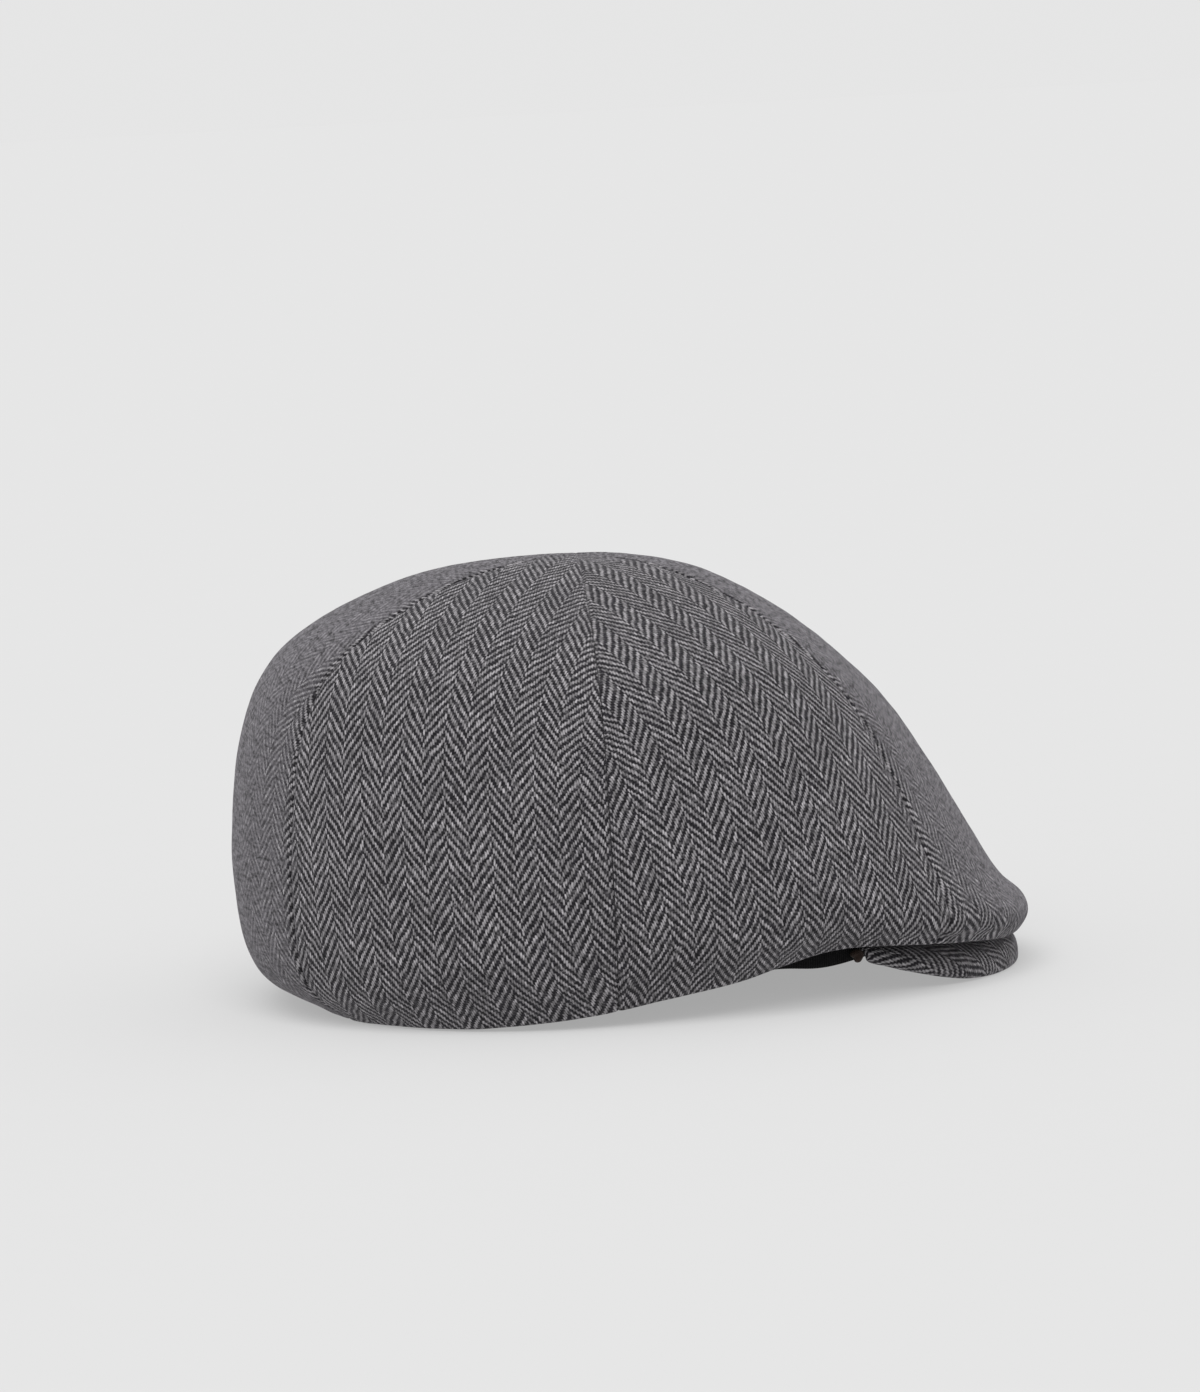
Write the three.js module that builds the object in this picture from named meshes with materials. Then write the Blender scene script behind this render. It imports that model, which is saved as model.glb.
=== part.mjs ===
// A six-panel flat cap whose crown runs down over a short stiff peak.
// Millimetres. +X points to the peak, +Y to the wearer's left, +Z up, and the cap
// rests on Z = 0. Angles are in degrees round the crown's top point, 0 at the peak.

import * as THREE from 'three';
import { mergeVertices } from 'three/addons/utils/BufferGeometryUtils.js';

// How far the crown reaches from its top point, and how high it stands.
const FRONT_REACH = 140;
const REAR_REACH = 114.5;
const HALF_WIDTH = 97;
const CROWN_HEIGHT = 140.5;

// The head opening, measured on the outside of the sweatband.
const OPENING_FRONT = 105;
const OPENING_REAR = 90.5;
const OPENING_HALF_WIDTH = 84.5;
const PLAN_ROUNDNESS = 2.1;

// Cloth and board.
const CLOTH_THICKNESS = 2;
const HEM_FOLD = 2.6;
const SEAM_GAP = 0.4;
const BAND_THICKNESS = 1.5;
const BAND_HEIGHT = 31;
const PEAK_THICKNESS = 3.5;

// The hem's height where it lifts over the corner of the peak, and how far it is
// tucked in under the front lip.
const HEM_LIFT = 17.4;
const LIP_TUCK = 2;
const HEM_OVERHANG_HALF_ANGLE = 56;
const HEM_OVERHANG_POWER = 1.3;

// The peak.
const PEAK_SETBACK = 2.8;
const PEAK_HALF_ANGLE = 36;
const PEAK_CORNER_WIDTH = 5;
const PEAK_CORNER_LIFT = 10.4;
const PEAK_TOP_FRONT = 14.5;
const PEAK_TOP_CORNER = 16.5;
const PEAK_SECTION_POWER = 3;
const TAB_RADIUS = 1.7;
const TAB_ANGLE_PAST_PEAK = 1.3;

// Levels of the crown between the hem and the top point. Reaches are shares of
// FRONT_REACH, REAR_REACH and HALF_WIDTH. Heights are shares of the way from the
// hem up to CROWN_HEIGHT. Rows are the grid rows from the level below.
const LEVELS = [
  { name: 'swell', front: 1.0, rear: 0.97, side: 0.99, zFront: 0.044, zSide: 0.135, zRear: 0.085, rows: 3 },
  { name: 'belly', front: 0.934, rear: 1.0, side: 1.0, zFront: 0.151, zSide: 0.337, zRear: 0.53, rows: 5 },
  { name: 'shoulder', front: 0.655, rear: 0.87, side: 0.905, zFront: 0.642, zSide: 0.675, zRear: 0.79, rows: 6 },
  { name: 'brow', front: 0.31, rear: 0.522, side: 0.6, zFront: 0.93, zSide: 0.872, zRear: 0.951, rows: 5 },
];
const TOP_ROWS = 5;

// The hem's height round the cap, as shares of HEM_LIFT. Below 0 it is pressed flat.
const HEM_LINE = [
  { angle: 0, height: 0.66 },
  { angle: 14, height: 0.66 },
  { angle: 24, height: 0.8 },
  { angle: 36, height: 0.95 },
  { angle: 46, height: 1 },
  { angle: 54, height: 0.81 },
  { angle: 64, height: 0.6 },
  { angle: 80, height: 0.39 },
  { angle: 94, height: 0.21 },
  { angle: 108, height: 0.08 },
  { angle: 120, height: -0.01 },
  { angle: 132, height: -0.03 },
  { angle: 144, height: -0.02 },
  { angle: 158, height: 0.05 },
  { angle: 180, height: 0.08 },
];

// The sweatband's lower edge, as shares of HEM_LIFT.
const BAND_LINE = [
  { angle: 0, height: 0.7 },
  { angle: 30, height: 0.7 },
  { angle: 44, height: 0.64 },
  { angle: 53, height: 0.74 },
  { angle: 60, height: 0.74 },
  { angle: 74, height: 0.53 },
  { angle: 90, height: 0.33 },
  { angle: 108, height: 0.15 },
  { angle: 125, height: 0.07 },
  { angle: 150, height: 0.09 },
  { angle: 180, height: 0.14 },
];

// The peak's lower edge, as shares of PEAK_CORNER_LIFT. Below 0 it is pressed flat.
const PEAK_LINE = [
  { angle: 0, height: 0.03 },
  { angle: 6, height: -0.01 },
  { angle: 14, height: 0 },
  { angle: 20, height: 0.09 },
  { angle: 25, height: 0.32 },
  { angle: 30, height: 0.64 },
  { angle: 36, height: 1 },
];

// Where the seams lie on each side, from the front.
const FRONT_SEAM_ANGLE = 30;
const SIDE_SEAM_ANGLE = 88.5;
const REAR_SEAM_ANGLE = 150;

const PANEL_COLUMNS = 10;
const BAND_COLUMNS = 72;
const BAND_ROWS = 3;
const PEAK_COLUMNS = 32;
const PEAK_ROWS = 8;

const WOOL = new THREE.MeshStandardMaterial({ color: 0x6b6b70, roughness: 0.95, metalness: 0 });
const PEAK_WOOL = new THREE.MeshStandardMaterial({ color: 0x626267, roughness: 0.95, metalness: 0 });
const BAND_CLOTH = new THREE.MeshStandardMaterial({ color: 0x131315, roughness: 0.85, metalness: 0 });
const TAB_CLOTH = new THREE.MeshStandardMaterial({ color: 0x33251f, roughness: 0.9, metalness: 0 });

const radians = THREE.MathUtils.degToRad;

// The angle from the front, 0 to 180, on either side.
function fromFront(angle) {
  const turned = THREE.MathUtils.euclideanModulo(angle + 180, 360) - 180;
  return Math.abs(turned);
}

// A smooth curve through a table's heights, level at both ends.
function heightAlong(table, angle) {
  const last = table.length - 1;
  const place = THREE.MathUtils.clamp(fromFront(angle), table[0].angle, table[last].angle);
  let row = 0;
  while (row < last - 1 && place > table[row + 1].angle) row += 1;
  const slopeAt = (index) => {
    if (index === 0 || index === last) return 0;
    const before = table[index - 1];
    const after = table[index + 1];
    return (after.height - before.height) / (after.angle - before.angle);
  };
  const from = table[row];
  const to = table[row + 1];
  const span = to.angle - from.angle;
  const t = (place - from.angle) / span;
  const rise = t * t * (3 - 2 * t);
  const leave = t * (1 - t) * (1 - t) * span * slopeAt(row);
  const arrive = t * t * (t - 1) * span * slopeAt(row + 1);
  return from.height + (to.height - from.height) * rise + leave + arrive;
}

// A rounded oval with its own reach to the front, the rear and the sides.
function ovalRadius(angle, front, rear, side) {
  const along = Math.cos(radians(angle));
  const across = Math.sin(radians(angle));
  const reach = along >= 0 ? front : rear;
  const sum = Math.abs(along / reach) ** PLAN_ROUNDNESS + Math.abs(across / side) ** PLAN_ROUNDNESS;
  return 1 / sum ** (1 / PLAN_ROUNDNESS);
}

// Goes from the side's value to the front's or the rear's.
function blendRound(angle, front, side, rear) {
  const along = Math.cos(radians(angle));
  const end = along >= 0 ? front : rear;
  return side + (end - side) * along * along;
}

function openingRadius(angle) {
  return ovalRadius(angle, OPENING_FRONT, OPENING_REAR, OPENING_HALF_WIDTH);
}

// 1 at the front, falling to 0 at the given angle on each side.
function frontSwell(angle, halfAngle, power) {
  const share = Math.min(fromFront(angle) / halfAngle, 1);
  return Math.cos(share * Math.PI / 2) ** power;
}

function hemRadius(angle) {
  const round = openingRadius(angle) + SEAM_GAP + HEM_FOLD;
  const overhang = FRONT_REACH - LIP_TUCK - (OPENING_FRONT + SEAM_GAP + HEM_FOLD);
  return round + overhang * frontSwell(angle, HEM_OVERHANG_HALF_ANGLE, HEM_OVERHANG_POWER);
}

function hemHeight(angle) {
  return Math.max(0, HEM_LIFT * heightAlong(HEM_LINE, angle));
}

// The crown's levels at one angle, as points (radius, height), from the hem up.
function levelPoints(angle) {
  const hem = new THREE.Vector3(hemRadius(angle), hemHeight(angle), 0);
  const above = LEVELS.map((level) => {
    const share = blendRound(angle, level.zFront, level.zSide, level.zRear);
    const radius = ovalRadius(
      angle, level.front * FRONT_REACH, level.rear * REAR_REACH, level.side * HALF_WIDTH);
    return new THREE.Vector3(radius, THREE.MathUtils.lerp(hem.y, CROWN_HEIGHT, share), 0);
  });
  return [hem, ...above];
}

// The crown's outline at one angle, from the hem over the top and down the far side.
function meridian(angle) {
  const near = levelPoints(angle);
  const far = levelPoints(angle + 180).reverse();
  for (const point of far) point.x = -point.x;
  const top = new THREE.Vector3(0, CROWN_HEIGHT, 0);
  return new THREE.CatmullRomCurve3([...near, top, ...far]);
}

// Where the grid's rows lie along a meridian, 0 at the hem and 0.5 at the top point.
function rowPlaces() {
  const counts = [...LEVELS.map((level) => level.rows), TOP_ROWS];
  const step = 0.5 / counts.length;
  const places = [0];
  counts.forEach((count, segment) => {
    for (let row = 1; row <= count; row += 1) {
      places.push(step * (segment + row / count));
    }
  });
  return places;
}

function polar(radius, angle, height) {
  return new THREE.Vector3(radius * Math.cos(radians(angle)), radius * Math.sin(radians(angle)), height);
}

// A closed skin between an outer and an inner grid of points, [row][column]. Rows
// go up and columns go counter-clockwise seen from above. Triangles that a shared
// point flattens are left out.
function shellGeometry(outer, inner, wraps) {
  const positions = [];
  const triangle = (a, b, c) => {
    const corners = [a, b, c];
    const flat = corners.some((corner, index) => corner.distanceTo(corners[(index + 1) % 3]) < 1e-4);
    if (flat) return;
    for (const corner of corners) positions.push(corner.x, corner.y, corner.z);
  };
  const quad = (a, b, c, d) => {
    triangle(a, b, c);
    triangle(a, c, d);
  };
  const lastRow = outer.length - 1;
  const lastColumn = outer[0].length - 1;
  for (let row = 0; row < lastRow; row += 1) {
    for (let column = 0; column < lastColumn; column += 1) {
      quad(outer[row][column], outer[row][column + 1], outer[row + 1][column + 1], outer[row + 1][column]);
      quad(inner[row][column + 1], inner[row][column], inner[row + 1][column], inner[row + 1][column + 1]);
    }
  }
  for (let column = 0; column < lastColumn; column += 1) {
    quad(outer[0][column + 1], outer[0][column], inner[0][column], inner[0][column + 1]);
    quad(outer[lastRow][column], outer[lastRow][column + 1], inner[lastRow][column + 1], inner[lastRow][column]);
  }
  if (!wraps) {
    for (let row = 0; row < lastRow; row += 1) {
      quad(outer[row][0], outer[row + 1][0], inner[row + 1][0], inner[row][0]);
      quad(
        outer[row + 1][lastColumn], outer[row][lastColumn],
        inner[row][lastColumn], inner[row + 1][lastColumn]);
    }
  }
  const geometry = new THREE.BufferGeometry();
  geometry.setAttribute('position', new THREE.Float32BufferAttribute(positions, 3));
  return mergeVertices(geometry);
}

// From the crown's outer face to its inner face, in (radius, height). The hem is
// cut level and is thicker, because the cloth is folded there.
function inwardStep(row, lastRow, tangent) {
  if (row === 0) return new THREE.Vector3(-HEM_FOLD, 0, 0);
  if (row === lastRow) return new THREE.Vector3(0, -CLOTH_THICKNESS, 0);
  return new THREE.Vector3(-tangent.y, tangent.x, 0).setLength(CLOTH_THICKNESS);
}

// One crown panel: a wedge between two seams, from the hem to a point at the top.
function crownPanel({ name, from, to }) {
  const centre = (from + to) / 2;
  const halfSpread = (to - from) / 2;
  const places = rowPlaces();
  const outer = [];
  const inner = [];
  places.forEach((place, row) => {
    const outerRow = [];
    const innerRow = [];
    for (let column = 0; column <= PANEL_COLUMNS; column += 1) {
      const across = column / PANEL_COLUMNS * 2 - 1;
      const curve = meridian(centre + across * halfSpread);
      const point = curve.getPoint(place);
      const inward = inwardStep(row, places.length - 1, curve.getTangent(place));
      outerRow.push(seamPoint(point, centre, halfSpread, across));
      innerRow.push(seamPoint(point.clone().add(inward), centre, halfSpread, across));
    }
    outer.push(outerRow);
    inner.push(innerRow);
  });
  const mesh = new THREE.Mesh(shellGeometry(outer, inner, false), WOOL);
  mesh.name = name;
  return mesh;
}

// Turns (radius, height) into a place on the panel, kept half a seam gap from the
// planes that its two seams lie in. The panel ends where those planes meet.
function seamPoint(point, centre, halfSpread, across) {
  const tipRadius = SEAM_GAP / 2 / Math.sin(radians(halfSpread));
  const radius = Math.max(point.x, tipRadius);
  const gapAngle = THREE.MathUtils.radToDeg(Math.asin(SEAM_GAP / 2 / radius));
  return polar(radius, centre + across * (halfSpread - gapAngle), point.y);
}

// The band inside the head opening, an upright ring that follows the hem.
function sweatband() {
  const outer = [];
  const inner = [];
  for (let row = 0; row <= BAND_ROWS; row += 1) {
    const outerRow = [];
    const innerRow = [];
    for (let column = 0; column <= BAND_COLUMNS; column += 1) {
      const angle = (column % BAND_COLUMNS) / BAND_COLUMNS * 360;
      const foot = HEM_LIFT * heightAlong(BAND_LINE, angle);
      const height = foot + BAND_HEIGHT * row / BAND_ROWS;
      outerRow.push(polar(openingRadius(angle), angle, height));
      innerRow.push(polar(openingRadius(angle) - BAND_THICKNESS, angle, height));
    }
    outer.push(outerRow);
    inner.push(innerRow);
  }
  const mesh = new THREE.Mesh(shellGeometry(outer, inner, true), BAND_CLOTH);
  mesh.name = 'sweatband';
  return mesh;
}

function peakRoot(angle) {
  return openingRadius(angle) + SEAM_GAP;
}

function peakWidth(angle) {
  const depth = FRONT_REACH - PEAK_SETBACK - (OPENING_FRONT + SEAM_GAP);
  return PEAK_CORNER_WIDTH + (depth - PEAK_CORNER_WIDTH) * frontSwell(angle, PEAK_HALF_ANGLE, 1);
}

function peakEdgeHeight(angle) {
  return Math.max(0, PEAK_CORNER_LIFT * heightAlong(PEAK_LINE, angle));
}

function peakTopHeight(angle) {
  const share = fromFront(angle) / PEAK_HALF_ANGLE;
  return THREE.MathUtils.lerp(PEAK_TOP_FRONT, PEAK_TOP_CORNER, share * share);
}

// A point on the peak's section, a squared quarter round: turn 0 at its lower edge,
// 90 at its root. The inset is 0 on the upper face and one thickness on the lower.
function peakPoint(angle, turn, inset) {
  const out = Math.max(Math.cos(radians(turn)), 0) ** (2 / PEAK_SECTION_POWER);
  const up = Math.sin(radians(turn)) ** (2 / PEAK_SECTION_POWER);
  const foot = peakEdgeHeight(angle);
  const radius = peakRoot(angle) + (peakWidth(angle) - inset) * out;
  const height = foot + (peakTopHeight(angle) - foot - inset) * up;
  return polar(radius, angle, height);
}

// The stiff peak, a crescent that bends down to its edge.
function peak() {
  const upper = [];
  const lower = [];
  for (let row = 0; row <= PEAK_ROWS; row += 1) {
    const turn = row / PEAK_ROWS * 90;
    const upperRow = [];
    const lowerRow = [];
    for (let column = 0; column <= PEAK_COLUMNS; column += 1) {
      const angle = (column / PEAK_COLUMNS * 2 - 1) * PEAK_HALF_ANGLE;
      const inset = Math.min(PEAK_THICKNESS, peakWidth(angle) / 2);
      upperRow.push(peakPoint(angle, turn, 0));
      lowerRow.push(peakPoint(angle, turn, inset));
    }
    upper.push(upperRow);
    lower.push(lowerRow);
  }
  const mesh = new THREE.Mesh(shellGeometry(upper, lower, false), PEAK_WOOL);
  mesh.name = 'peak';
  return mesh;
}

// The small rolled end of the peak's binding, past one corner of the peak.
function peakTab(name, side) {
  const angle = side * (PEAK_HALF_ANGLE + TAB_ANGLE_PAST_PEAK);
  const radius = openingRadius(angle) + SEAM_GAP + TAB_RADIUS;
  const height = (peakEdgeHeight(angle) + peakTopHeight(angle)) / 2;
  const mesh = new THREE.Mesh(new THREE.SphereGeometry(TAB_RADIUS, 16, 10), TAB_CLOTH);
  mesh.position.copy(polar(radius, angle, height));
  mesh.name = name;
  return mesh;
}

const PANELS = [
  { name: 'panel_front', from: -FRONT_SEAM_ANGLE, to: FRONT_SEAM_ANGLE },
  { name: 'panel_front_left', from: FRONT_SEAM_ANGLE, to: SIDE_SEAM_ANGLE },
  { name: 'panel_rear_left', from: SIDE_SEAM_ANGLE, to: REAR_SEAM_ANGLE },
  { name: 'panel_back', from: REAR_SEAM_ANGLE, to: 360 - REAR_SEAM_ANGLE },
  { name: 'panel_rear_right', from: -REAR_SEAM_ANGLE, to: -SIDE_SEAM_ANGLE },
  { name: 'panel_front_right', from: -SIDE_SEAM_ANGLE, to: -FRONT_SEAM_ANGLE },
];

const cap = new THREE.Group();
for (const panel of PANELS) cap.add(crownPanel(panel));
cap.add(sweatband());
cap.add(peak());
cap.add(peakTab('peak_tab_left', 1));
cap.add(peakTab('peak_tab_right', -1));

// The origin is the middle of the cap's box, on the surface it rests on.
cap.updateMatrixWorld(true);
const box = new THREE.Box3().setFromObject(cap, true);
cap.position.set(-(box.min.x + box.max.x) / 2, -(box.min.y + box.max.y) / 2, -box.min.z);

export default cap;
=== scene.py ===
"""A soft herringbone wool cap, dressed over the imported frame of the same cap.

Metres, in the row frame: +X points to the peak, +Y to the wearer's left, +Z up.
Tables are in shares or in degrees round the crown's top point, 0 at the peak.
"""

import math

import bmesh
import bpy
from bpy.props import FloatProperty, FloatVectorProperty, IntProperty, PointerProperty
from mathutils import Matrix, Vector, noise


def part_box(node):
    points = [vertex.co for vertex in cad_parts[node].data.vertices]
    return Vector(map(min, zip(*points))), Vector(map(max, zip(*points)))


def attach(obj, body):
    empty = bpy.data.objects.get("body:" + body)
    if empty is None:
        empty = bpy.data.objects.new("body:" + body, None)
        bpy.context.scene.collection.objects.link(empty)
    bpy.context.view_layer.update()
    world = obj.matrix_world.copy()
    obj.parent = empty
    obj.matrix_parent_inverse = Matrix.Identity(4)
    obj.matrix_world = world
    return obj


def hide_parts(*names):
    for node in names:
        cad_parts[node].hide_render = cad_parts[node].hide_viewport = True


bl_info = {
    "name": "Herringbone cap",
    "version": (1, 0, 0),
    "blender": (4, 5, 0),
    "location": "3D View > Sidebar > Cap",
    "description": "Builds the cloth of a six-panel wool cap over its packed frame",
    "category": "Object",
}

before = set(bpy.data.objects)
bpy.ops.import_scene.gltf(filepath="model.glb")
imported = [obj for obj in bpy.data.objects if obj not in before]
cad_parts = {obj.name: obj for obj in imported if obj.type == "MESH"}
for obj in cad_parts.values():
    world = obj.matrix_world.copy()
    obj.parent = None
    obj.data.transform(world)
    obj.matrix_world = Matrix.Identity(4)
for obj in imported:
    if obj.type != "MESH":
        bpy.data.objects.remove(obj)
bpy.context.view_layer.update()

# The crown's top point. The seams lie in upright planes through it.
TOP_X = -0.01174
CROWN_HEIGHT = 0.1405
FRONT_REACH = 0.140
REAR_REACH = 0.1145
HALF_WIDTH = 0.097

# The head opening, measured on the outside of the sweatband.
OPENING_FRONT = 0.105
OPENING_REAR = 0.0905
OPENING_HALF_WIDTH = 0.0845
PLAN_ROUNDNESS = 2.1

SEAM_GAP = 0.0004
# How far a panel's edge runs past the seam's plane, so that no light comes through.
SEAM_OVERLAP = 0.0001
# Nearer to the top than this, a panel draws in to one point.
TOP_POINT_RADIUS = 0.0005
HEM_FOLD = 0.0026
HEM_LIFT = 0.0174
LIP_TUCK = 0.002
HEM_OVERHANG_HALF_ANGLE = 56
HEM_OVERHANG_POWER = 1.3
BAND_HEIGHT = 0.031
BAND_THICKNESS = 0.0015

PEAK_SETBACK = 0.0028
PEAK_HALF_ANGLE = 36
PEAK_CORNER_WIDTH = 0.005
PEAK_CORNER_LIFT = 0.0104
PEAK_TOP_FRONT = 0.0145
PEAK_TOP_CORNER = 0.0165
PEAK_THICKNESS = 0.0035
PEAK_SECTION_POWER = 3
# How fast the peak's edge turns to the side, against the angle from the front.
PEAK_EDGE_TURN = 1.7
# The peak's ends run a little past its half angle, and the foot rises there by the
# rounding, over the last degrees.
PEAK_END_REACH = 0.3
PEAK_END_ROUND = 0.0026
PEAK_END_FROM = 1.8
PEAK_END_SPAN = 2.2
TAB_RADIUS = 0.0017
TAB_SLANT = -35

# Levels of the crown from the hem up: shares of the three reaches, and shares of
# the way from the hem to the crown's height at the front, the sides and the rear.
LEVELS = [
    {"front": 1.0, "rear": 0.97, "side": 0.99, "z_front": 0.044, "z_side": 0.135, "z_rear": 0.085},
    {"front": 0.934, "rear": 1.0, "side": 1.0, "z_front": 0.151, "z_side": 0.337, "z_rear": 0.53},
    {"front": 0.655, "rear": 0.87, "side": 0.905, "z_front": 0.642, "z_side": 0.675, "z_rear": 0.79},
    {"front": 0.31, "rear": 0.522, "side": 0.6, "z_front": 0.93, "z_side": 0.872, "z_rear": 0.951},
]

# (degrees from the front, share of HEM_LIFT). Below 0 the edge is pressed flat.
HEM_LINE = [
    (0, 0.66), (14, 0.66), (24, 0.8), (36, 0.95), (46, 1.0), (54, 0.81), (64, 0.6), (80, 0.39),
    (94, 0.21), (108, 0.08), (120, -0.01), (132, -0.03), (144, -0.02), (158, 0.05), (180, 0.08),
]
BAND_LINE = [
    (0, 0.7), (30, 0.7), (44, 0.64), (53, 0.74), (60, 0.74), (74, 0.53),
    (90, 0.33), (108, 0.15), (125, 0.07), (150, 0.09), (180, 0.14),
]
# (degrees from the front, share of PEAK_CORNER_LIFT).
PEAK_LINE = [
    (0, 0.03), (6, -0.01), (14, 0.0), (20, 0.09), (25, 0.32), (30, 0.64), (36, 1.0),
]

# The lean is how far a stripe wanders across its panel for each metre down it.
PANELS = [
    {"name": "panel_front", "from": -30, "to": 30, "lean": 0.0},
    {"name": "panel_front_left", "from": 30, "to": 88.5, "lean": -0.167},
    {"name": "panel_rear_left", "from": 88.5, "to": 150, "lean": -0.061},
    {"name": "panel_back", "from": 150, "to": 210, "lean": 0.0},
    {"name": "panel_rear_right", "from": -150, "to": -88.5, "lean": 0.061},
    {"name": "panel_front_right", "from": -88.5, "to": -30, "lean": 0.167},
]

# Where a panel's columns lie from its centre line, in shares of its half width.
# They crowd at the seam, where the cloth dips.
COLUMN_SHARES = [
    0.0, 0.08, 0.16, 0.24, 0.32, 0.4, 0.48, 0.56, 0.64, 0.71, 0.77, 0.82, 0.865, 0.9,
    0.93, 0.952, 0.968, 0.98, 0.99, 1.0,
]
CROWN_ROWS = 104
FOLD_ROWS = 6
TURN_UP_ROWS = 7
PEAK_COLUMNS = 74
PEAK_FACE_ROWS = 14
PEAK_EDGE_ROWS = 6
BAND_COLUMNS = 144
BAND_WALL_ROWS = 8
BAND_EDGE_ROWS = 4

# The slow waves in the cloth: their size, their share of the softness and their seed.
CLOTH_WAVES = [
    {"size": 0.045, "share": 1.0, "seed": 1.7},
    {"size": 0.017, "share": 0.3, "seed": 8.2},
    {"size": 0.005, "share": 0.2, "seed": 3.1},
]

# How far round to its weft's direction a cloth still shows its nap as painted sheen, a grey mixed into
# its colour by the angle it is seen at.
SMOOTH_NAP_SHEEN_REACH = 0.2
BRUSHED_NAP_SHEEN_REACH = 0.36

FLOOR_RADIUS = 60.0
LIGHT_DIRECTION = Vector((-0.15, -0.62, 0.86))
LIGHT_SPREAD = 50

# The camera, as the photograph was taken: degrees, metres, and millimetres for the sensor.
CAMERA_TARGET = Vector((0.00256, 0.0, 0.0635))
CAMERA_AZIMUTH = -2.28
CAMERA_ELEVATION = 6.644
CAMERA_ROLL = 3.096
CAMERA_DISTANCE = 1.7
FRAME_WIDTH_AT_TARGET = 0.38988
TARGET_RIGHT_OF_CENTRE = 0.01057
TARGET_BELOW_CENTRE = 0.02929
SENSOR_WIDTH = 36.0


class CapClothSettings(bpy.types.PropertyGroup):
    """How the cloth is cut and sewn."""

    thickness: FloatProperty(
        name="Cloth thickness", description="Thickness of one layer of wool",
        default=0.0011, min=0.0003, max=0.002, unit="LENGTH", precision=5)
    turn_up: FloatProperty(
        name="Turned-up hem", description="How far the hem is turned up inside",
        default=0.012, min=0.004, max=0.03, unit="LENGTH", precision=4)
    seam_depth: FloatProperty(
        name="Seam depth", description="How far the cloth dips into a seam",
        default=0.0008, min=0.0, max=0.003, unit="LENGTH", precision=5)
    seam_half_width: FloatProperty(
        name="Seam half width", description="How far from a seam the dip reaches",
        default=0.0007, min=0.0003, max=0.004, unit="LENGTH", precision=5)
    seam_puff: FloatProperty(
        name="Seam puff", description="How far the cloth swells beside a seam",
        default=0.0001, min=0.0, max=0.002, unit="LENGTH", precision=5)
    lip_roll: FloatProperty(
        name="Lip roll", description="How far the cloth swells over the front lip",
        default=0.0016, min=0.0, max=0.004, unit="LENGTH", precision=5)
    lip_crease: FloatProperty(
        name="Lip crease", description="Depth of the crease above the hem beside the peak",
        default=0.0008, min=0.0, max=0.002, unit="LENGTH", precision=5)
    softness: FloatProperty(
        name="Softness", description="Height of the slow waves in the crown",
        default=0.0009, min=0.0, max=0.004, unit="LENGTH", precision=5)


class CapWeaveSettings(bpy.types.PropertyGroup):
    """The herringbone wool and the plain cloths."""

    warp_pitch: FloatProperty(
        name="Warp pitch", description="From one light yarn to the next",
        default=0.000644, min=0.0002, max=0.003, unit="LENGTH", precision=5)
    weft_pitch: FloatProperty(
        name="Weft pitch", description="From one dark yarn to the next",
        default=0.000905, min=0.0002, max=0.003, unit="LENGTH", precision=5)
    stripe_yarns: IntProperty(
        name="Yarns in a stripe", description="Light yarns before the twill turns back",
        default=11, min=2, max=40)
    light_wool: FloatVectorProperty(
        name="Light wool", description="Colour of the light yarn", subtype="COLOR",
        size=4, min=0.0, max=1.0, default=(0.272, 0.261, 0.272, 1.0))
    dark_wool: FloatVectorProperty(
        name="Dark wool", description="Colour of the dark yarn", subtype="COLOR",
        size=4, min=0.0, max=1.0, default=(0.0088, 0.008, 0.0102, 1.0))
    band_cloth: FloatVectorProperty(
        name="Band cloth", description="Colour of the sweatband", subtype="COLOR",
        size=4, min=0.0, max=1.0, default=(0.003, 0.0028, 0.0032, 1.0))
    binding: FloatVectorProperty(
        name="Binding", description="Colour of the rolled binding", subtype="COLOR",
        size=4, min=0.0, max=1.0, default=(0.024, 0.013, 0.009, 1.0))
    # The nap's colour and cover are painted sheen: the weave's colour turns to this grey where the
    # cloth is seen edge on or along its weft.
    nap_and_sheen_wool: FloatVectorProperty(
        name="Nap", description="Colour of the fibres that stand up from the cloth",
        subtype="COLOR", size=4, min=0.0, max=1.0, default=(0.126, 0.119, 0.13, 1.0))
    nap_and_sheen_cover: FloatProperty(
        name="Nap cover", description="How far the nap hides the weave where it is seen edge on",
        default=0.75, min=0.0, max=1.0, subtype="FACTOR")
    fuzz: FloatProperty(
        name="Fuzz", description="Strength of the soft sheen of the wool's nap",
        default=0.15, min=0.0, max=1.0, subtype="FACTOR")


class CapStageSettings(bpy.types.PropertyGroup):
    """The floor and the light."""

    floor: FloatVectorProperty(
        name="Floor", description="Colour of the floor", subtype="COLOR",
        size=4, min=0.0, max=1.0, default=(0.34, 0.34, 0.34, 1.0))
    floor_glow: FloatProperty(
        name="Floor glow", description="Strength of the light that comes up through the floor",
        default=0.367, min=0.0, max=2.0)
    sky_strength: FloatProperty(
        name="Sky", description="Strength of the even light from all round",
        default=0.788, min=0.0, max=4.0)
    sun_strength: FloatProperty(
        name="Soft light", description="Strength of the broad light from above",
        default=1.81, min=0.0, max=10.0)


def from_front(angle):
    """The angle from the front, 0 to 180, on either side."""
    return abs((angle + 180) % 360 - 180)


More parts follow.
